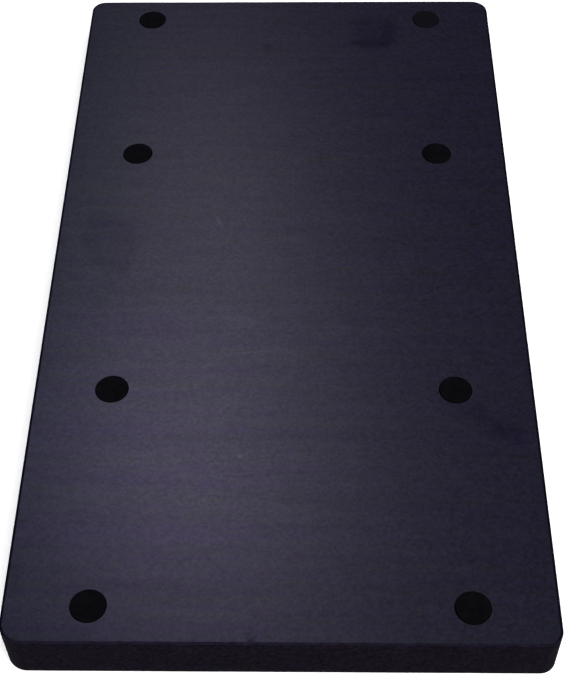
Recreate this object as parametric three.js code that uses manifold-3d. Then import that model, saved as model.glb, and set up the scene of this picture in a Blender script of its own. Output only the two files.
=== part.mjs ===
// Granite tooling slab for leatherwork, lying on its work face with its eight rubber feet uppermost.
// Units are millimetres. +Z is up, +X runs across the width and +Y along the length.
// The origin is the centre of the work face, which is the lowest plane of the part.
import * as THREE from 'three';
import { mergeVertices } from 'three/addons/utils/BufferGeometryUtils.js';
import Module from 'manifold-3d';

// Slab: a 10 by 18 inch piece of nominal 3 cm stone.
const SLAB_WIDTH = 254;
const SLAB_LENGTH = 457.2;
const SLAB_THICKNESS = 28.5;
const CORNER_RADIUS = 9; // rounding of the four upright edges, in plan
const ARRIS_RADIUS = 0.8; // easing of the edges round both large faces
const CORNER_STEPS = 8;
const ARRIS_STEPS = 3;

// Sockets: blind holes drilled in the foot side with a 17 mm core bit.
const SOCKET_DIAMETER = 17;
const SOCKET_DEPTH = 6;
const SOCKET_MOUTH_CHAMFER = 0.25;
const CUTTER_OVERRUN = 2; // how far the socket cutter stands above the stone

// Feet: short rubber cylinders bonded into the sockets.
const FOOT_CLEARANCE = 0.3; // gap round a foot in its socket, on the radius
const FOOT_PROUD = 0.5; // how far a foot stands out of the stone
const FOOT_RIM_RADIUS = 0.4; // rounding of the outer rim of a foot
const FOOT_SEAT_CHAMFER = 0.5; // chamfer at the seated end of a foot
const ROUND_STEPS = 40;
const RIM_STEPS = 3;

// Adhesive: a disc at the bottom of each socket.
const ADHESIVE_THICKNESS = 0.5;
const ADHESIVE_MARGIN = 0.5; // how much smaller the adhesive disc is than the foot, on the radius

// Foot layout: two columns, with an outer and an inner row at each end of the slab.
const FOOT_SIDE_INSET = 39.6; // foot centre to the long side
const FOOT_END_INSET = 18.5; // outer foot centre to the short side
const INNER_ROW_SPACING = 173; // between the two inner rows

const socketRadius = SOCKET_DIAMETER / 2;
const footRadius = socketRadius - FOOT_CLEARANCE;
const socketFloor = SLAB_THICKNESS - SOCKET_DEPTH;
const footBase = socketFloor + ADHESIVE_THICKNESS;
const footHeight = SLAB_THICKNESS + FOOT_PROUD - footBase;
const columnX = SLAB_WIDTH / 2 - FOOT_SIDE_INSET;
const outerRowY = SLAB_LENGTH / 2 - FOOT_END_INSET;
const innerRowY = INNER_ROW_SPACING / 2;

const columns = [['left', -columnX], ['right', columnX]];
const rows = [
  ['front', -outerRowY],
  ['front_middle', -innerRowY],
  ['rear_middle', innerRowY],
  ['rear', outerRowY],
];

const granite = new THREE.MeshStandardMaterial({ color: 0x33313f, roughness: 0.55, metalness: 0 });
const rubber = new THREE.MeshStandardMaterial({ color: 0x0b0b0d, roughness: 0.8, metalness: 0 });
const adhesive = new THREE.MeshStandardMaterial({ color: 0x2a2826, roughness: 0.6, metalness: 0 });

// A rectangle with rounded corners, centred on the origin.
function roundedRectangle(width, length, radius) {
  const x = width / 2;
  const y = length / 2;
  const shape = new THREE.Shape();
  shape.moveTo(x, radius - y);
  shape.lineTo(x, y - radius);
  shape.absarc(x - radius, y - radius, radius, 0, Math.PI / 2);
  shape.lineTo(radius - x, y);
  shape.absarc(radius - x, y - radius, radius, Math.PI / 2, Math.PI);
  shape.lineTo(-x, radius - y);
  shape.absarc(radius - x, radius - y, radius, Math.PI, Math.PI * 1.5);
  shape.lineTo(x - radius, -y);
  shape.absarc(x - radius, radius - y, radius, Math.PI * 1.5, Math.PI * 2);
  return shape;
}

// The stone before drilling. The bevel grows the outline by the arris radius, so it starts smaller.
function slabBlank() {
  const inset = 2 * ARRIS_RADIUS;
  const outline = roundedRectangle(SLAB_WIDTH - inset, SLAB_LENGTH - inset, CORNER_RADIUS - ARRIS_RADIUS);
  const geometry = new THREE.ExtrudeGeometry(outline, {
    depth: SLAB_THICKNESS - inset,
    curveSegments: CORNER_STEPS,
    bevelSize: ARRIS_RADIUS,
    bevelThickness: ARRIS_RADIUS,
    bevelSegments: ARRIS_STEPS,
  });
  return geometry.translate(0, 0, ARRIS_RADIUS);
}

// A solid of revolution about +Z from [radius, height] pairs that start and end on the axis.
function turned(profile) {
  const points = profile.map(([radius, height]) => new THREE.Vector2(radius, height));
  return new THREE.LatheGeometry(points, ROUND_STEPS).rotateX(Math.PI / 2);
}

function socketCutter() {
  const mouthRadius = socketRadius + SOCKET_MOUTH_CHAMFER;
  return turned([
    [0, 0],
    [socketRadius, 0],
    [socketRadius, SOCKET_DEPTH - SOCKET_MOUTH_CHAMFER],
    [mouthRadius, SOCKET_DEPTH],
    [mouthRadius, SOCKET_DEPTH + CUTTER_OVERRUN],
    [0, SOCKET_DEPTH + CUTTER_OVERRUN],
  ]);
}

function footGeometry() {
  const profile = [
    [0, 0],
    [footRadius - FOOT_SEAT_CHAMFER, 0],
    [footRadius, FOOT_SEAT_CHAMFER],
  ];
  for (let step = 0; step <= RIM_STEPS; step++) {
    const angle = (step / RIM_STEPS) * (Math.PI / 2);
    profile.push([
      footRadius - FOOT_RIM_RADIUS * (1 - Math.cos(angle)),
      footHeight - FOOT_RIM_RADIUS * (1 - Math.sin(angle)),
    ]);
  }
  profile.push([0, footHeight]);
  return turned(profile);
}

function adhesiveGeometry() {
  const radius = footRadius - ADHESIVE_MARGIN;
  return turned([[0, 0], [radius, 0], [radius, ADHESIVE_THICKNESS], [0, ADHESIVE_THICKNESS]]);
}

// Boolean solids: a closed three.js geometry in, a manifold out, and back again.
const manifold = await Module();
manifold.setup();

function toSolid(geometry) {
  const bare = geometry.clone();
  bare.deleteAttribute('normal');
  bare.deleteAttribute('uv');
  const merged = mergeVertices(bare);
  return new manifold.Manifold(new manifold.Mesh({
    numProp: 3,
    vertProperties: new Float32Array(merged.attributes.position.array),
    triVerts: new Uint32Array(merged.index.array),
  }));
}

function toGeometry(solid) {
  const mesh = solid.getMesh();
  const geometry = new THREE.BufferGeometry();
  geometry.setAttribute('position', new THREE.BufferAttribute(mesh.vertProperties, 3));
  geometry.setIndex(new THREE.BufferAttribute(mesh.triVerts, 1));
  geometry.computeVertexNormals();
  return geometry;
}

function drilledSlab() {
  let stone = toSolid(slabBlank());
  const cutter = toSolid(socketCutter());
  for (const [, y] of rows) {
    for (const [, x] of columns) {
      stone = stone.subtract(cutter.translate([x, y, socketFloor]));
    }
  }
  return toGeometry(stone);
}

function place(name, geometry, material, x, y, z) {
  const mesh = new THREE.Mesh(geometry, material);
  mesh.name = name;
  mesh.position.set(x, y, z);
  return mesh;
}

const part = new THREE.Group();
part.name = 'granite_tooling_slab';
part.add(place('slab', drilledSlab(), granite, 0, 0, 0));
for (const [row, y] of rows) {
  for (const [side, x] of columns) {
    part.add(place(`adhesive_${row}_${side}`, adhesiveGeometry(), adhesive, x, y, socketFloor));
    part.add(place(`foot_${row}_${side}`, footGeometry(), rubber, x, y, footBase));
  }
}

export default part;
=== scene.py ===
import math

import bpy
from mathutils import Matrix, Vector, noise
from mathutils.geometry import delaunay_2d_cdt


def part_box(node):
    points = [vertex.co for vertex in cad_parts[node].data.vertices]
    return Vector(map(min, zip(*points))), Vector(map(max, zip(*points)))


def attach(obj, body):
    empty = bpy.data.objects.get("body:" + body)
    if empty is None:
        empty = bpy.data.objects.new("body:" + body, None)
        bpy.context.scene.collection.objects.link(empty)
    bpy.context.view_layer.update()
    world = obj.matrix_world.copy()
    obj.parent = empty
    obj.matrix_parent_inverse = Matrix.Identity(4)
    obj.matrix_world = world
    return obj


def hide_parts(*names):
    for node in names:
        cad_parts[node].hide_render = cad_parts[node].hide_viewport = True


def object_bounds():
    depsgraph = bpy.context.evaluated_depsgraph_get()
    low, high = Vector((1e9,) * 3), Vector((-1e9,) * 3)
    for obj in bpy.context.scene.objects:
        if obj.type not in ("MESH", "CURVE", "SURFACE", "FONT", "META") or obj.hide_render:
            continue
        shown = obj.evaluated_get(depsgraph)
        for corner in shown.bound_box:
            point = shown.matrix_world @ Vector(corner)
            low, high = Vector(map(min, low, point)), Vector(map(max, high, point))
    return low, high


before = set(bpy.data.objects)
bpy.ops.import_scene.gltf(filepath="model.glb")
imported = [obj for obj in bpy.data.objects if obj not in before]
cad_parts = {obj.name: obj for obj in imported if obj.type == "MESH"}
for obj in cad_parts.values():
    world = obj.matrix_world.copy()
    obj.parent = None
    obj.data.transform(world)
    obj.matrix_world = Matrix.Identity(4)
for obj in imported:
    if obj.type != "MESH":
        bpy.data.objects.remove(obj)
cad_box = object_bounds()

MM = 0.001
BODY = "root"
ROWS = ("front", "front_middle", "rear_middle", "rear")
SIDES = ("left", "right")
ROUND_STEPS = 96  # steps round a socket, a foot or an adhesive bed

SLAB_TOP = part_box("slab")[1]
HALF_WIDTH = SLAB_TOP.x
HALF_LENGTH = SLAB_TOP.y
THICKNESS = SLAB_TOP.z

# The upright corners were rounded by hand, no two quite alike, about the CAD's 9 mm.
FRONT_LEFT_CORNER = 10.2 * MM
FRONT_RIGHT_CORNER = 7.8 * MM
REAR_RIGHT_CORNER = 9.5 * MM
REAR_LEFT_CORNER = 8.2 * MM
CORNER_STATIONS = 14
STATION_STEP = 1.0 * MM
SIDE_BANDS = 8

# The eased edges round both large faces, a little wider along the long sides.
ARRIS_RADIUS = 0.8 * MM
ARRIS_STEPS = 6
SIDE_ARRIS_EXTRA = 0.5 * MM
HOLD_WIDTH = 0.5 * MM  # a narrow flat ring inside each eased edge keeps its shading crisp

# Wear on the eased edges, in long shallow dips that go as far in as down, and one chip in the front edge.
EDGE_WEAR = 0.10 * MM
EDGE_WEAR_SIZE = 22 * MM
EDGE_WEAR_BIAS = 0.2  # above 0, more than half of each edge is worn
WEAR_SLOPE = 0.7
CHIP_X = -13 * MM
CHIP_HALF_WIDTH = 1.4 * MM
CHIP_DEPTH = 0.3 * MM
FOOT_SIDE_SEED = 5.0
WORK_SIDE_SEED = 91.0

# Points that fill the large faces between their rim and the sockets.
FACE_GRID = 9 * MM
RIM_MARGIN = 3 * MM
HOLE_MARGIN = 12 * MM
MERGE_DISTANCE = 1e-7

# Sockets, with the stone finely chipped round their mouths.
FOOT_CLEARANCE = 0.3 * MM
SOCKET_DEPTH = 6 * MM
SOCKET_MOUTH = 0.10 * MM
MOUTH_WEAR = 0.06 * MM
MOUTH_WEAR_SIZE = 2.5 * MM
MOUTH_SEED = 31.0

# Feet: the rim that shows, the rim at the seat, the flat bearing ring, the dish in it and a moulding mark.
FOOT_RIM = 0.4 * MM
FOOT_RIM_STEPS = 6
FOOT_SEAT_RIM = 0.5 * MM
FOOT_SEAT_STEPS = 4
BEARING_WIDTH = 1.4 * MM
DISH_LIP = 0.3 * MM
DISH_SLOPE = 0.7 * MM
DISH_DEPTH = 0.12 * MM
GATE_MARK_RADIUS = 0.8 * MM
GATE_MARK_EDGE = 0.1 * MM

# Adhesive beds: rounded off at their rim, with an uneven outline that stays inside the CAD disc.
BED_EDGE = 0.1 * MM
BED_ROUNDING = 0.18 * MM
BED_BULGE = 0.04 * MM
BED_SHRINK = 0.35 * MM
BED_SHRINK_SIZE = 3 * MM
BED_SEED = 17.0


# ---------------------------------------------------------------- mesh helpers

def new_piece(name, verts, faces, replaced):
    """Makes a mesh object that rides on the body and stands for a CAD node."""
    mesh = bpy.data.meshes.new(name)
    mesh.from_pydata([tuple(v) for v in verts], [], faces)
    mesh.validate()
    piece = bpy.data.objects.new(name, mesh)
    bpy.context.scene.collection.objects.link(piece)
    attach(piece, BODY)
    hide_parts(replaced)
    return piece


def bridge(lower, upper):
    """Quads between two closed rings of vertex numbers that run anticlockwise, facing out if they rise."""
    count = len(lower)
    return [
        (lower[i], lower[(i + 1) % count], upper[(i + 1) % count], upper[i])
        for i in range(count)
    ]


def ripple(place, size, seed):
    """Smooth noise from -1 to 1, with features about as large as size."""
    return noise.noise(Vector((place.x / size, place.y / size, place.z / size + seed)))


def turn_direction(step):
    """The outward direction at one of the ROUND_STEPS round a vertical axis."""
    angle = 2 * math.pi * step / ROUND_STEPS
    return Vector((math.cos(angle), math.sin(angle), 0))


def centre_and_radius(node):
    """The plan centre and the radius of an upright round CAD node."""
    low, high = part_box(node)
    return Vector(((low.x + high.x) / 2, (low.y + high.y) / 2)), (high.x - low.x) / 2


# ---------------------------------------------------------------- the stone

def outline_stations():
    """Points round the slab's full outline, anticlockwise, each with its outward direction."""
    corners = (
        (1, -1, -math.pi / 2, FRONT_RIGHT_CORNER),
        (1, 1, 0.0, REAR_RIGHT_CORNER),
        (-1, 1, math.pi / 2, REAR_LEFT_CORNER),
        (-1, -1, math.pi, FRONT_LEFT_CORNER),
    )
    arcs = []
    for side_x, side_y, start, radius in corners:
        centre = Vector((side_x * (HALF_WIDTH - radius), side_y * (HALF_LENGTH - radius), 0))
        arc = []
        for step in range(CORNER_STATIONS + 1):
            angle = start + step / CORNER_STATIONS * math.pi / 2
            out = Vector((math.cos(angle), math.sin(angle), 0))
            arc.append((centre + out * radius, out))
        arcs.append(arc)
    stations = []
    for number, arc in enumerate(arcs):
        stations += arc
        here, out = arc[-1]
        there = arcs[(number + 1) % len(arcs)][0][0]
        steps = round((there - here).length / STATION_STEP)
        for step in range(1, steps):
            stations.append((here.lerp(there, step / steps), out.copy()))
    return stations


def worn_depth(place, seed):
    """How far an edge is worn back at a station: a gentle ripple and the one chip in the front edge."""
    depth = EDGE_WEAR * max(0.0, ripple(place, EDGE_WEAR_SIZE, seed) + EDGE_WEAR_BIAS)
    reach = (place - Vector((CHIP_X, -HALF_LENGTH, 0))).length / CHIP_HALF_WIDTH
    if seed == FOOT_SIDE_SEED and reach < 1:
        depth += CHIP_DEPTH * (1 - reach * reach)
    return depth


def edge_profile():
    """(inset, height, wear share) of each ring from the work face's rim up to the foot side's rim."""
    lower = [(ARRIS_RADIUS + HOLD_WIDTH, 0.0, 0.0)]
    for step in range(ARRIS_STEPS + 1):
        angle = step / ARRIS_STEPS * math.pi / 2
        inset = ARRIS_RADIUS * (1 - math.sin(angle))
        share = 0.25 + 0.75 * math.sin(2 * angle)  # most wear half-way round the curve
        lower.append((inset, ARRIS_RADIUS * (1 - math.cos(angle)), share))
    sides = []
    for band in range(1, SIDE_BANDS):
        height = ARRIS_RADIUS + (THICKNESS - 2 * ARRIS_RADIUS) * band / SIDE_BANDS
        sides.append((0.0, height, 0.0))
    upper = [(inset, THICKNESS - height, share) for inset, height, share in reversed(lower)]
    return lower + sides + upper


def edge_ring(verts, stations, inset, height, share):
    """Adds one ring of the stone's edge, worn by its share, and returns its vertex numbers."""
    is_upper = height > THICKNESS / 2
    seed = FOOT_SIDE_SEED if is_upper else WORK_SIDE_SEED
    ring = []
    for point, out in stations:
        wear = worn_depth(point, seed) * share * WEAR_SLOPE
        extra = SIDE_ARRIS_EXTRA * min(1.0, inset / ARRIS_RADIUS) * abs(out.x)
        place = point - out * (inset + extra + wear)
        place.z = height - wear if is_upper else height + wear
        ring.append(len(verts))
        verts.append(place)
    return ring


def grid_places(holes):
    """Plan points of a regular grid that stay clear of the face's rim and of its holes."""
    columns = round(2 * HALF_WIDTH / FACE_GRID)
    rows = round(2 * HALF_LENGTH / FACE_GRID)
    keep_off = ARRIS_RADIUS + HOLD_WIDTH + RIM_MARGIN
    places = []
    for row in range(1, rows):
        for column in range(1, columns):
            place = Vector((
                -HALF_WIDTH + 2 * HALF_WIDTH * column / columns,
                -HALF_LENGTH + 2 * HALF_LENGTH * row / rows,
            ))
            near_rim = abs(place.x) > HALF_WIDTH - keep_off or abs(place.y) > HALF_LENGTH - keep_off
            near_hole = any((place - centre).length < HOLE_MARGIN for centre, _ in holes)
            if not near_rim and not near_hole:
                places.append(place)
    return places


def fill_face(verts, rim, holes, height, faces_up):
    """Triangles of a flat face inside a rim of vertex numbers and outside round holes of vertex numbers."""
    loops = [rim] + [ring for _, ring in holes]
    numbers = [n for loop in loops for n in loop]
    flat = [Vector((verts[n].x, verts[n].y)) for n in numbers]
    edges = []
    start = 0
    for loop in loops:
        edges += [(start + i, start + (i + 1) % len(loop)) for i in range(len(loop))]
        start += len(loop)
    for place in grid_places(holes):
        numbers.append(len(verts))
        verts.append(Vector((place.x, place.y, height)))
        flat.append(place)
    _, _, triangles, origins, _, _ = delaunay_2d_cdt(flat, edges, [], 0, MERGE_DISTANCE)
    hole_rings = [set(ring) for _, ring in holes]
    faces = []
    for triangle in triangles:
        face = [numbers[origins[i][0]] for i in triangle]
        in_hole = any(ring.issuperset(face) for ring in hole_rings)
        if not in_hole:
            faces.append(tuple(face if faces_up else reversed(face)))
    return faces


def ring_kind(number, last):
    """Which finish the band of faces above a ring of the edge profile takes."""
    if number == 0:
        return "work"
    if number == last:
        return "foot"
    if number <= ARRIS_STEPS or number >= last - ARRIS_STEPS:
        return "arris"
    return "edge"


def add_socket(verts, add, foot):
    """Adds one blind socket's rings below the foot side, and returns its centre and its mouth ring."""
    centre, foot_radius = centre_and_radius(foot)
    radius = foot_radius + FOOT_CLEARANCE
    levels = [  # (radius, height, share of the chipping)
        (radius + 2.2 * SOCKET_MOUTH, THICKNESS, 0.0),
        (radius + SOCKET_MOUTH, THICKNESS, 1.0),
        (radius + SOCKET_MOUTH * 0.3, THICKNESS - SOCKET_MOUTH * 0.3, 0.6),
        (radius, THICKNESS - SOCKET_MOUTH, 0.2),
        (radius, THICKNESS - SOCKET_DEPTH / 2, 0.0),
        (radius, THICKNESS - SOCKET_DEPTH, 0.0),
    ]
    rings = []
    for reach, height, share in levels:
        ring = []
        for step in range(ROUND_STEPS):
            out = turn_direction(step)
            place = Vector((centre.x, centre.y, height)) + out * reach
            chipped = MOUTH_WEAR * max(0.0, ripple(place, MOUTH_WEAR_SIZE, MOUTH_SEED)) * share
            ring.append(len(verts))
            verts.append(place + out * chipped)
        rings.append(ring)
    add(bridge(rings[0], rings[1]), "foot")
    for upper, lower in zip(rings[1:], rings[2:]):
        add(bridge(upper, lower), "socket")
    add([tuple(rings[-1])], "socket")
    return centre, rings[0]


def build_slab():
    """The stone as one closed mesh, with a finish for each kind of surface."""
    verts, faces, kinds = [], [], []

    def add(new_faces, kind):
        faces.extend(new_faces)
        kinds.extend([kind] * len(new_faces))

    stations = outline_stations()
    rings = [edge_ring(verts, stations, *level) for level in edge_profile()]
    for number, (lower, upper) in enumerate(zip(rings, rings[1:])):
        add(bridge(lower, upper), ring_kind(number, len(rings) - 2))
    holes = [add_socket(verts, add, f"foot_{row}_{side}") for row in ROWS for side in SIDES]
    add(fill_face(verts, rings[-1], holes, THICKNESS, True), "foot")
    add(fill_face(verts, rings[0], [], 0.0, False), "work")

    slab = new_piece("granite_slab", verts, faces, "slab")
    finishes = {
        "foot": honed_granite(),
        "edge": sawn_granite(),
        # The two eased-edge finishes are a painted-shade copy and a painted-light copy of one stone.
        "arris": eased_granite("painted_shade_edge_granite", PAINTED_EDGE_SHADE),
        "front_arris": eased_granite("painted_light_edge_granite", PAINTED_FRONT_EDGE_LIGHT),
        "work": polished_granite(),
        "socket": drilled_granite(),
    }
    order = list(finishes)
    for finish in finishes.values():
        slab.data.materials.append(finish)
    for polygon, kind in zip(slab.data.polygons, kinds):
        # Eased edge faces that face the front take the paler copy, painted light; the rest take the darker
        # copy, painted shade.
        if kind == "arris" and -polygon.normal.y > abs(polygon.normal.x):
            kind = "front_arris"
        polygon.material_index = order.index(kind)
        polygon.use_smooth = True


# ---------------------------------------------------------------- the feet and their adhesive

def turned_piece(name, profile, centre, replaced, finish, wobble=None):
    """A solid of revolution: profile is (radius, height) pairs from the axis below to the axis above."""
    verts = [Vector((centre.x, centre.y, profile[0][1]))]
    faces = []
    rings = []
    for radius, height in profile[1:-1]:
        ring = []
        for step in range(ROUND_STEPS):
            place = Vector((centre.x, centre.y, height)) + turn_direction(step) * radius
            if wobble:
                place = wobble(place, centre, radius)
            ring.append(len(verts))
            verts.append(place)
        rings.append(ring)
    verts.append(Vector((centre.x, centre.y, profile[-1][1])))
    first, last = rings[0], rings[-1]
    for step in range(ROUND_STEPS):
        after = (step + 1) % ROUND_STEPS
        faces.append((0, first[after], first[step]))
        faces.append((last[step], last[after], len(verts) - 1))
    for lower, upper in zip(rings, rings[1:]):
        faces += bridge(lower, upper)
    piece = new_piece(name, verts, faces, replaced)
    piece.data.materials.append(finish)
    for polygon in piece.data.polygons:
        polygon.use_smooth = True


def lower_round(radius, bottom, rim, steps):
    """(radius, height) pairs round a rounded lower rim, from the bottom out to the full radius."""
    pairs = []
    for step in range(steps + 1):
        angle = step / steps * math.pi / 2
        pairs.append((radius - rim * (1 - math.sin(angle)), bottom + rim * (1 - math.cos(angle))))
    return pairs


def upper_round(radius, top, rim, steps):
    """(radius, height) pairs round a rounded upper rim, from the full radius in to the top."""
    pairs = []
    for step in range(steps + 1):
        angle = step / steps * math.pi / 2
        pairs.append((radius - rim * (1 - math.cos(angle)), top - rim * (1 - math.sin(angle))))
    return pairs


def build_foot(node, finish):
    """A moulded rubber foot: rounded rims, a flat bearing ring and a very shallow dish in its middle."""
    low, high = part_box(node)
    centre, radius = centre_and_radius(node)
    bottom, top = low.z, high.z
    dish_rim = radius - BEARING_WIDTH
    profile = [(0, bottom), (radius * 0.5, bottom)]
    profile += lower_round(radius, bottom, FOOT_SEAT_RIM, FOOT_SEAT_STEPS)
    profile += [(radius, bottom + (top - bottom) * share) for share in (1 / 3, 2 / 3)]
    profile += upper_round(radius, top, FOOT_RIM, FOOT_RIM_STEPS)
    profile += [
        (dish_rim, top),
        (dish_rim - DISH_LIP, top - DISH_DEPTH * 0.4),
        (dish_rim - DISH_SLOPE, top - DISH_DEPTH),
        (radius * 0.45, top - DISH_DEPTH),
        (GATE_MARK_RADIUS + GATE_MARK_EDGE, top - DISH_DEPTH),
        (GATE_MARK_RADIUS, top - DISH_DEPTH * 1.6),
        (0, top - DISH_DEPTH * 1.8),
    ]
    turned_piece("rubber_" + node, profile, centre, node, finish)


def build_adhesive(node, finish):
    """The bed of cured adhesive under a foot, squeezed to an uneven round edge."""
    low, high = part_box(node)
    centre, radius = centre_and_radius(node)
    bottom, top = low.z, high.z

    def squeezed(place, centre, ring_radius):
        if ring_radius < radius * 0.8:
            return place
        away = Vector((place.x - centre.x, place.y - centre.y, 0)).normalized()
        return place - away * BED_SHRINK * (1 + ripple(place, BED_SHRINK_SIZE, BED_SEED))

    profile = [
        (0, bottom),
        (radius * 0.5, bottom),
        (radius - BED_ROUNDING, bottom),
        (radius - BED_BULGE, bottom + BED_EDGE),
        (radius, (bottom + top) / 2),
        (radius - BED_BULGE, top - BED_EDGE),
        (radius - BED_ROUNDING, top),
        (radius * 0.5, top),
        (0, top),
    ]
    turned_piece("bed_" + node, profile, centre, node, finish, squeezed)


# ---------------------------------------------------------------- material helpers

class Shader:
    """One material, with a short call for each kind of node used here. Places are in metres."""

    def __init__(self, name):
        self.material = bpy.data.materials.new(name)
        self.material.use_nodes = True
        self.tree = self.material.node_tree
        self.surface = self.tree.nodes["Principled BSDF"]
        self.place = self.tree.nodes.new("ShaderNodeTexCoord").outputs["Object"]

    def put(self, socket, value):
        """Links a node's output to a socket, or sets the socket to a plain value."""
        if isinstance(value, bpy.types.NodeSocket):
            self.tree.links.new(value, socket)
        else:
            socket.default_value = value

    def math(self, operation, *values):
        """One arithmetic node."""
        node = self.tree.nodes.new("ShaderNodeMath")
        node.operation = operation
        for socket, value in zip(node.inputs, values):
            self.put(socket, value)
        return node.outputs[0]

    def total(self, *values):
        """The sum of several values."""
        found = values[0]
        for value in values[1:]:
            found = self.math("ADD", found, value)
        return found

    def product(self, *values):
        """Several values multiplied together."""
        found = values[0]
        for value in values[1:]:
            found = self.math("MULTIPLY", found, value)
        return found

    def average(self, first, second, share):
        """A share of the first value and the rest of the second."""
        return self.total(self.product(first, share), self.product(second, 1 - share))

    def span(self, value, low, high, to_low=0.0, to_high=1.0, smooth=True):
        """value from low..high carried to to_low..to_high, held at its ends."""
        node = self.tree.nodes.new("ShaderNodeMapRange")
        node.interpolation_type = "SMOOTHSTEP" if smooth else "LINEAR"
        for socket, number in zip(node.inputs[:5], (value, low, high, to_low, to_high)):
            self.put(socket, number)
        return node.outputs[0]

    def turned(self, x=0.0, y=0.0, angle=0.0, scale=(1.0, 1.0, 1.0)):
        """Coordinates about a place on the face, turned by angle in degrees and then scaled."""
        shift = self.tree.nodes.new("ShaderNodeMapping")
        shift.inputs["Location"].default_value = (-x, -y, 0)
        self.put(shift.inputs["Vector"], self.place)
        turn = self.tree.nodes.new("ShaderNodeMapping")
        turn.inputs["Rotation"].default_value = (0, 0, -math.radians(angle))
        self.put(turn.inputs["Vector"], shift.outputs[0])
        stretch = self.tree.nodes.new("ShaderNodeMapping")
        stretch.inputs["Scale"].default_value = scale
        self.put(stretch.inputs["Vector"], turn.outputs[0])
        return stretch.outputs[0]

    def along_x(self):
        """The place's distance to the right of the slab's middle."""
        split = self.tree.nodes.new("ShaderNodeSeparateXYZ")
        self.put(split.inputs[0], self.place)
        return split.outputs["X"]

    def noise(self, size, detail=2.0, roughness=0.5, place=None):
        """Soft noise from about 0.2 to 0.8, with features about as large as size."""
        node = self.tree.nodes.new("ShaderNodeTexNoise")
        self.put(node.inputs["Vector"], place or self.place)
        self.put(node.inputs["Scale"], 1 / size)
        self.put(node.inputs["Detail"], detail)
        self.put(node.inputs["Roughness"], roughness)
        return node.outputs[0]

    def streaks(self, size, length):
        """0 to 1 in long streaks across the slab's width, about size apart."""
        place = self.turned(scale=(size / length, 1.0, 1.0))
        return self.span(self.noise(size, 4.0, 0.65, place=place), 0.3, 0.7, smooth=False)

    def cells(self, size):
        """A random value from 0 to 1 for each crystal of about that size."""
        node = self.tree.nodes.new("ShaderNodeTexVoronoi")
        self.put(node.inputs["Vector"], self.place)
        self.put(node.inputs["Scale"], 1 / size)
        split = self.tree.nodes.new("ShaderNodeSeparateColor")
        self.put(split.inputs[0], node.outputs["Color"])
        return split.outputs[0]

    def patch(self, x, y, width, length, angle=0.0, ragged=0.0, soft=0.25, seed=0.0):
        """1 inside an ellipse on the face and 0 outside it. Sizes are in millimetres, angle in degrees."""
        scale = (2 / (width * MM), 2 / (length * MM), 0)
        node = self.tree.nodes.new("ShaderNodeVectorMath")
        node.operation = "LENGTH"
        self.put(node.inputs[0], self.turned(x * MM, y * MM, angle, scale))
        reach = node.outputs["Value"]
        if ragged > 0:
            edge = self.noise(min(width, length) * 0.4 * MM, place=self.turned(x=seed))
            reach = self.total(reach, self.span(edge, 0.25, 0.75, -ragged, ragged, smooth=False))
        return self.span(reach, 1 - soft, 1 + soft, 1.0, 0.0)

    def blend(self, share, first, second, kind="MIX"):
        """A share of the second colour over the first. Sockets 6, 7 and 2 are the node's colour ones."""
        node = self.tree.nodes.new("ShaderNodeMix")
        node.data_type = "RGBA"
        node.blend_type = kind
        self.put(node.inputs[0], share)
        self.put(node.inputs[6], first)
        self.put(node.inputs[7], second)
        return node.outputs[2]

    def tinted(self, colour, layer):
        """A colour multiplied by another colour or by a value."""
        return self.blend(1.0, colour, layer, "MULTIPLY")

    def bump(self, height, depth, strength):
        """A normal roughened by height, which runs from 0 to 1 over the depth."""
        node = self.tree.nodes.new("ShaderNodeBump")
        self.put(node.inputs["Strength"], strength)
        self.put(node.inputs["Distance"], depth)
        self.put(node.inputs["Height"], height)
        return node.outputs[0]

    def finish(self, **sockets):
        """Sets the surface's named sockets, with _ for each space, and returns the material."""
        for name, value in sockets.items():
            self.put(self.surface.inputs[name.replace("_", " ")], value)
        return self.material


# ---------------------------------------------------------------- stone finishes

# The stone's own crystals, from black to pale.
BLACK_GRAIN = (0.0036, 0.0032, 0.0092, 1)
PALE_GRAIN = (0.0079, 0.0069, 0.0199, 1)
COARSE_CRYSTAL = 1.7 * MM
FINE_CRYSTAL = 1.0 * MM
CLOUD_SIZE = 14 * MM

# What shows on one finish only: hues, polish and grinding streaks on the honed face, mottle on the sides.
HUE_CRYSTAL = 1.5 * MM
COARSE_POLISH = 1.4 * MM
FINE_POLISH = 0.8 * MM
PITTING_SIZE = 0.9 * MM
PITTING_DEPTH = 0.010 * MM
STREAK_SPACING = 5 * MM
STREAK_LENGTH = 60 * MM
ROW_SPACING = 4.3 * MM
ROW_LENGTH = 200 * MM
MOTTLE_SIZE = 2.2 * MM
CAST_SIZE = 16 * MM
SAWN_DEPTH = 0.05 * MM
DRILLED_DEPTH = 0.1 * MM

# Tints that multiply them: hues of the honed face, its stains, and the eased and sawn edges.
CLEAR = (1, 1, 1, 1)
BLUER = (1.055, 0.90, 1.20, 1)
GREENER = (0.95, 1.10, 0.80, 1)
# The next tint greens the left side of the honed face, a painted light.
PAINTED_LEFT_LIGHT_TINT = (0.95, 1.05, 1.0, 1)
VIOLET = (1.0, 0.8, 1.2, 1)
# The next tint darkens the side and rear eased edges as painted shade; the one after lightens the front
# eased edge as painted light.
PAINTED_EDGE_SHADE = (0.30, 0.40, 0.35, 1)
PAINTED_FRONT_EDGE_LIGHT = (1.35, 1.20, 1.00, 1)
# The two mottle tints below also dim the sides overall, a painted shade.
SAWN_DARK = (0.58, 0.45, 0.33, 1)
SAWN_PALE = (1.30, 1.08, 0.75, 1)
SAWN_COOL = (0.94, 1.01, 1.05, 1)
SAWN_WARM = (1.06, 0.98, 0.96, 1)

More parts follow.
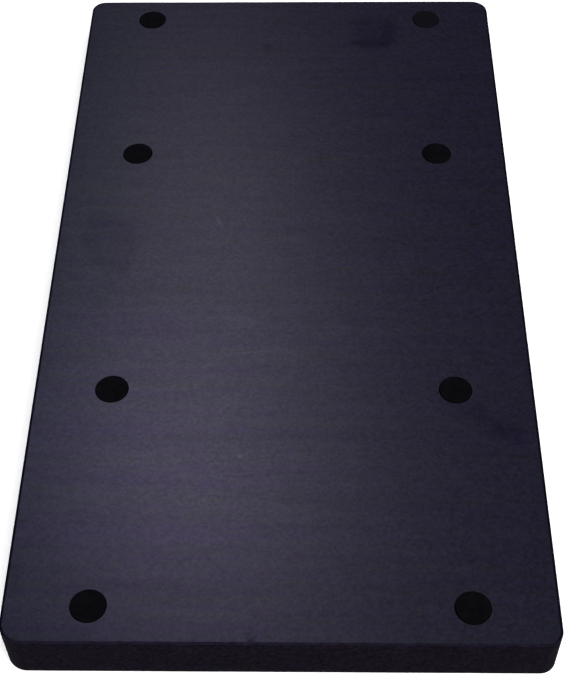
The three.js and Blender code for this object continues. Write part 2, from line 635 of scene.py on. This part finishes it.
# Marks on the foot side: (x, y, width, length, angle, ragged edge, soft edge, strength), in millimetres
# and degrees. A positive strength darkens the stone and a negative one lightens it.
STAINS_AND_CHIP_SHADE = (
    (54.0, 195.5, 31, 33, -8, 0.25, 0.35, 0.20),
    (51.5, 186.5, 27, 9, 0, 0.35, 0.50, 0.16),
    (63.0, 199.0, 9, 22, -10, 0.3, 0.50, 0.13),
    (-13.0, 182.5, 7, 6, 0, 0.3, 0.6, 0.20),
    (78.5, 152.0, 7, 6, 0, 0.3, 0.7, 0.16),
    (18.0, 153.0, 8, 6, 0, 0.3, 0.7, 0.12),
    (-97.0, 13.5, 28, 44, 10, 0.25, 0.35, 0.17),
    (-97.0, 15.5, 17, 30, 10, 0.25, 0.50, -0.07),
    (98.0, -104.0, 13, 44, 52, 0.35, 0.7, 0.17),
    (112.0, -112.0, 12, 16, 52, 0.35, 0.7, 0.08),
    # The last mark is a painted shade beside the chip in the front edge, not a stain.
    (-13.0, -228.0, 3.4, 2.6, 0, 0.3, 0.4, 0.40),
)
BANDS = (
    (0.0, -116.5, 220, 4.5, 0, 0.3, 0.7, 0.08),
    (-67.0, -19.0, 84, 5.5, 0, 0.3, 0.7, 0.06),
    (-20.0, -200.0, 200, 9.0, 0, 0.3, 0.7, 0.05),
    (-10.0, -59.0, 150, 3.0, 0, 0.3, 0.7, -0.05),
    (-17.0, -139.0, 20, 1.6, 3, 0.3, 0.5, 0.13),
    (-17.0, -149.0, 20, 1.6, -4, 0.3, 0.5, 0.11),
    (-22.0, -41.0, 22, 12, 0, 0.3, 0.6, -0.07),
)
SCRATCHES = (
    (-37.8, 31.8, 1.2, 9.5, 22, 0.2, 0.5, -0.32),
    (-37.0, -69.0, 1.1, 18.0, -56, 0.2, 0.5, -0.15),
    (-15.8, -62.2, 1.1, 27.0, -83, 0.2, 0.5, -0.15),
    (8.0, -64.8, 1.1, 22.0, -113, 0.2, 0.5, -0.15),
    (-105.5, -6.5, 1.0, 8.0, 70, 0.2, 0.5, -0.14),
    (-105.5, -31.0, 1.0, 8.0, 110, 0.2, 0.5, -0.14),
    (4.0, 53.0, 1.0, 50.0, 0, 0.2, 0.5, -0.08),
    (-21.0, -127.5, 2.0, 2.0, 0, 0.2, 0.5, -0.45),
)


def marked(shader, marks):
    """1 on clean stone, less where marks darken it and more where they lighten it."""
    shade = 1.0
    for number, (x, y, width, length, angle, ragged, soft, strength) in enumerate(marks):
        inside = shader.patch(x, y, width, length, angle, ragged, soft, seed=0.01 * number)
        shade = shader.math("MULTIPLY_ADD", inside, -strength, shade)
    return shade


def crystals(shader):
    """The stone's colour, as close-packed grains from black to pale, and the grains' own values."""
    grain = shader.average(shader.cells(COARSE_CRYSTAL), shader.cells(FINE_CRYSTAL), 0.5)
    cloud = shader.noise(CLOUD_SIZE)
    tone = shader.total(
        shader.span(grain, 0.15, 0.85, 0.0, 0.9, smooth=False),
        shader.span(cloud, 0.3, 0.7, -0.04, 0.14),
    )
    return shader.blend(tone, BLACK_GRAIN, PALE_GRAIN), grain


def honed_hue(shader, streaks):
    """The face's hue: bluer and greener rows, crystals and streaks, and a teal tint on the left side that
    is painted light.
    """
    rows = shader.streaks(ROW_SPACING, ROW_LENGTH)
    hue = shader.total(
        shader.product(rows, 0.42),
        shader.product(shader.cells(HUE_CRYSTAL), 0.38),
        shader.product(streaks, 0.2),
    )
    # Painted light: a teal tint that fades in towards the left side.
    painted_left_light = shader.span(shader.along_x(), -HALF_WIDTH, -0.4 * HALF_WIDTH, 1.0, 0.0)
    return shader.tinted(shader.blend(hue, BLUER, GREENER), shader.blend(painted_left_light, CLEAR, PAINTED_LEFT_LIGHT_TINT))


def honed_granite():
    """The foot side: a dull soft sheen, ground across the width, stained and scratched in places, with a
    painted shade beside the front edge's chip and a painted teal light on its left side.
    """
    shader = Shader("honed_granite")
    colour, grain = crystals(shader)
    stains_and_chip_shade = marked(shader, STAINS_AND_CHIP_SHADE)
    lines = marked(shader, BANDS + SCRATCHES)
    streaks = shader.streaks(STREAK_SPACING, STREAK_LENGTH)
    shade = shader.product(stains_and_chip_shade, lines, shader.span(streaks, 0, 1, 0.925, 1.075, smooth=False))
    tint = honed_hue(shader, streaks)
    violet = shader.blend(shader.span(stains_and_chip_shade, 1.0, 0.7), CLEAR, VIOLET)
    for layer in (shade, tint, violet):
        colour = shader.tinted(colour, layer)
    polish = shader.average(shader.cells(COARSE_POLISH), shader.cells(FINE_POLISH), 0.6)
    shine = shader.product(shader.span(polish, 0.1, 0.9, 0.41, 0.59, smooth=False), shade)
    return shader.finish(
        Base_Color=colour,
        Roughness=shader.span(grain, 0.1, 0.9, 0.29, 0.31),
        Normal=shader.bump(shader.noise(PITTING_SIZE), PITTING_DEPTH, 0.3),
        Specular_IOR_Level=shine,
        Specular_Tint=tint,
    )


def eased_granite(name, tint):
    """The eased edges: painted shade darkens the sides and rear, painted light pales the front."""
    shader = Shader(name)
    colour, _ = crystals(shader)
    return shader.finish(Base_Color=shader.tinted(colour, tint), Roughness=0.7, Specular_IOR_Level=0.03)


def sawn_granite():
    """The four sides: rough from the saw, mottled, dimmed overall as painted shade, and warmer in some
    places than in others.
    """
    shader = Shader("sawn_granite")
    colour, grain = crystals(shader)
    mottle = shader.span(shader.noise(MOTTLE_SIZE, 3.0, 0.6), 0.3, 0.7)
    warmth = shader.span(shader.noise(CAST_SIZE), 0.35, 0.65)
    colour = shader.tinted(colour, shader.blend(mottle, SAWN_DARK, SAWN_PALE))
    colour = shader.tinted(colour, shader.blend(warmth, SAWN_COOL, SAWN_WARM))
    normal = shader.bump(grain, SAWN_DEPTH, 0.4)
    return shader.finish(Base_Color=colour, Roughness=0.8, Normal=normal, Specular_IOR_Level=0.01)


def polished_granite():
    """The work face."""
    shader = Shader("polished_granite")
    colour, grain = crystals(shader)
    roughness = shader.span(grain, 0.1, 0.9, 0.08, 0.16)
    return shader.finish(Base_Color=colour, Roughness=roughness, Specular_IOR_Level=0.5)


def drilled_granite():
    """The sockets' walls and floors."""
    shader = Shader("drilled_granite")
    colour, grain = crystals(shader)
    normal = shader.bump(grain, DRILLED_DEPTH, 0.6)
    return shader.finish(Base_Color=colour, Roughness=0.85, Normal=normal, Specular_IOR_Level=0.1)


# ---------------------------------------------------------------- rubber and adhesive finishes

RUBBER_DARK = (0.0017, 0.0016, 0.0024, 1)
RUBBER_PALE = (0.0026, 0.0024, 0.0036, 1)
RUBBER_PALER_PATCH = (0.0065, 0.0061, 0.0092, 1)
RUBBER_GRAIN = 0.35 * MM
RUBBER_CLOUD = 4 * MM
RUBBER_DEPTH = 0.02 * MM
# One foot is paler over a round patch.
PALER_FOOT = "foot_rear_right"
PALER_PATCH_WIDTH = 18  # in millimetres, as Shader.patch takes it
PALER_PATCH_SHARE = 0.5
ADHESIVE_DARK = (0.006, 0.0055, 0.005, 1)
ADHESIVE_PALE = (0.012, 0.011, 0.010, 1)
ADHESIVE_LUMP = 1.5 * MM
ADHESIVE_DEPTH = 0.1 * MM


def black_rubber():
    """Matte moulded rubber, paler in a round patch on the rear right foot."""
    shader = Shader("black_rubber")
    fine = shader.noise(RUBBER_GRAIN, 3.0, 0.6)
    cloud = shader.span(shader.noise(RUBBER_CLOUD), 0.35, 0.7)
    paler_centre, _ = centre_and_radius(PALER_FOOT)
    paler_patch = shader.patch(paler_centre.x / MM, paler_centre.y / MM, PALER_PATCH_WIDTH, PALER_PATCH_WIDTH, soft=0.1)
    colour = shader.blend(cloud, RUBBER_DARK, RUBBER_PALE)
    return shader.finish(
        Base_Color=shader.blend(shader.product(paler_patch, PALER_PATCH_SHARE), colour, RUBBER_PALER_PATCH),
        Roughness=shader.span(fine, 0.3, 0.7, 0.72, 0.9),
        Normal=shader.bump(fine, RUBBER_DEPTH, 0.5),
        Specular_IOR_Level=0.03,
    )


def dark_adhesive():
    """Cured construction adhesive, dull and lumpy."""
    shader = Shader("dark_adhesive")
    lumps = shader.noise(ADHESIVE_LUMP)
    colour = shader.blend(lumps, ADHESIVE_DARK, ADHESIVE_PALE)
    return shader.finish(Base_Color=colour, Roughness=0.45, Normal=shader.bump(lumps, ADHESIVE_DEPTH, 0.5))


# ---------------------------------------------------------------- floor, lights and camera

FLOOR_SIZE = 40.0
FLOOR_MOTTLE = 0.25
FLOOR_DARK = (0.90, 0.90, 0.905, 1)
FLOOR_PALE = (0.92, 0.92, 0.925, 1)
FLOOR_GLOW = 0.3

# The studio's brightness at eye level and overhead, and the height of its direction where the fade ends.
WORLD_COLOUR = (0.97, 0.975, 1.0, 1)
WORLD_LOW = 0.35
WORLD_HIGH = 0.04
WORLD_FADE_END = 0.35

SUN_STRENGTH = 3.6
SUN_WIDTH = math.radians(50)
SUN_HEADING = Vector((-0.25, 0.45, -1))

# A long strip and a small panel, placed from the middle of the foot side. A power is the watts in each
# square metre times the light's area.
STRIP_PLACE = Vector((-0.234, 1.872, 2.497))
STRIP_AIM = Vector((-0.04, -0.1, 0))
STRIP_SIZE = (0.333, 1.541)
STRIP_POWER = 7.8 * STRIP_SIZE[0] * STRIP_SIZE[1]
STRIP_COLOUR = (0.845, 0.823, 0.953)
PANEL_PLACE = Vector((-0.563, 2.511, 4.0))
PANEL_AIM = Vector((0, 0, 0))
PANEL_SIZE = (0.467, 0.467)
PANEL_POWER = 20.8 * PANEL_SIZE[0] * PANEL_SIZE[1]
PANEL_COLOUR = (1.136, 0.933, 1.66)

CAMERA_PLACE = Vector((0.01214, -0.51813, 0.59968))
CAMERA_PITCH = math.radians(51.306)
CAMERA_YAW = math.radians(-1.617)
CAMERA_ROLL = math.radians(1.167)
CAMERA_LENS = 72.41143
CAMERA_SENSOR = 36


def build_floor():
    """A pale floor that glows a little, so that it stays white all round the slab."""
    shader = Shader("pale_floor")
    mottle = shader.span(shader.noise(FLOOR_MOTTLE), 0.3, 0.7)
    finish = shader.finish(
        Base_Color=shader.blend(mottle, FLOOR_DARK, FLOOR_PALE),
        Roughness=0.9,
        Specular_IOR_Level=0.1,
        Emission_Color=CLEAR,
        Emission_Strength=FLOOR_GLOW,
    )
    half = FLOOR_SIZE / 2
    corners = [(-half, -half, 0), (half, -half, 0), (half, half, 0), (-half, half, 0)]
    mesh = bpy.data.meshes.new("floor")
    mesh.from_pydata(corners, [], [(0, 1, 2, 3)])
    floor = bpy.data.objects.new("floor", mesh)
    bpy.context.scene.collection.objects.link(floor)
    mesh.materials.append(finish)
    floor.location.z = cad_box[0].z


def place_light(name, data, place, heading):
    """Puts a light at a place, shining along its heading."""
    light = bpy.data.objects.new(name, data)
    light.location = place
    light.rotation_mode = "QUATERNION"
    light.rotation_quaternion = heading.to_track_quat("-Z", "Y")
    bpy.context.scene.collection.objects.link(light)


def area_light(name, place, target, size, power, colour):
    """A rectangular light that faces its target."""
    data = bpy.data.lights.new(name, "AREA")
    data.shape = "RECTANGLE"
    data.size, data.size_y = size
    data.energy = power
    data.color = colour
    place_light(name, data, place, target - place)


def build_lights():
    """A broad overhead sun, and the strip and panel that put a soft sheen down the slab's middle."""
    sun = bpy.data.lights.new("soft_key", "SUN")
    sun.energy = SUN_STRENGTH
    sun.angle = SUN_WIDTH
    place_light("soft_key", sun, Vector((0, 0, 0)), SUN_HEADING)
    top = Vector((0, 0, THICKNESS))
    area_light("strip", top + STRIP_PLACE, top + STRIP_AIM, STRIP_SIZE, STRIP_POWER, STRIP_COLOUR)
    area_light("far_panel", top + PANEL_PLACE, top + PANEL_AIM, PANEL_SIZE, PANEL_POWER, PANEL_COLOUR)


def build_world():
    """A studio that is pale at eye level and dim higher up, where the stone's top would mirror it."""
    world = bpy.data.worlds.new("studio")
    world.use_nodes = True
    tree = world.node_tree
    direction = tree.nodes.new("ShaderNodeTexCoord").outputs["Generated"]
    split = tree.nodes.new("ShaderNodeSeparateXYZ")
    tree.links.new(direction, split.inputs[0])
    fade = tree.nodes.new("ShaderNodeMapRange")
    fade.interpolation_type = "SMOOTHSTEP"
    for socket, value in zip(fade.inputs[1:5], (0.0, WORLD_FADE_END, WORLD_LOW, WORLD_HIGH)):
        socket.default_value = value
    tree.links.new(split.outputs["Z"], fade.inputs[0])
    background = tree.nodes["Background"]
    background.inputs["Color"].default_value = WORLD_COLOUR
    tree.links.new(fade.outputs[0], background.inputs["Strength"])
    bpy.context.scene.world = world


def build_camera():
    """Looks down on the slab from in front, with a long lens."""
    data = bpy.data.cameras.new("camera")
    data.lens = CAMERA_LENS
    data.sensor_width = CAMERA_SENSOR
    camera = bpy.data.objects.new("camera", data)
    bpy.context.scene.collection.objects.link(camera)
    turn = (
        Matrix.Rotation(-CAMERA_YAW, 4, "Z")
        @ Matrix.Rotation(math.pi / 2 - CAMERA_PITCH, 4, "X")
        @ Matrix.Rotation(-CAMERA_ROLL, 4, "Z")
    )
    camera.matrix_world = Matrix.Translation(CAMERA_PLACE) @ turn
    bpy.context.scene.camera = camera


build_camera()
build_world()
build_lights()
build_floor()
build_slab()
rubber = black_rubber()
adhesive = dark_adhesive()
for row in ROWS:
    for side in SIDES:
        build_foot(f"foot_{row}_{side}", rubber)
        build_adhesive(f"adhesive_{row}_{side}", adhesive)
bpy.context.scene.view_settings.view_transform = "Standard"
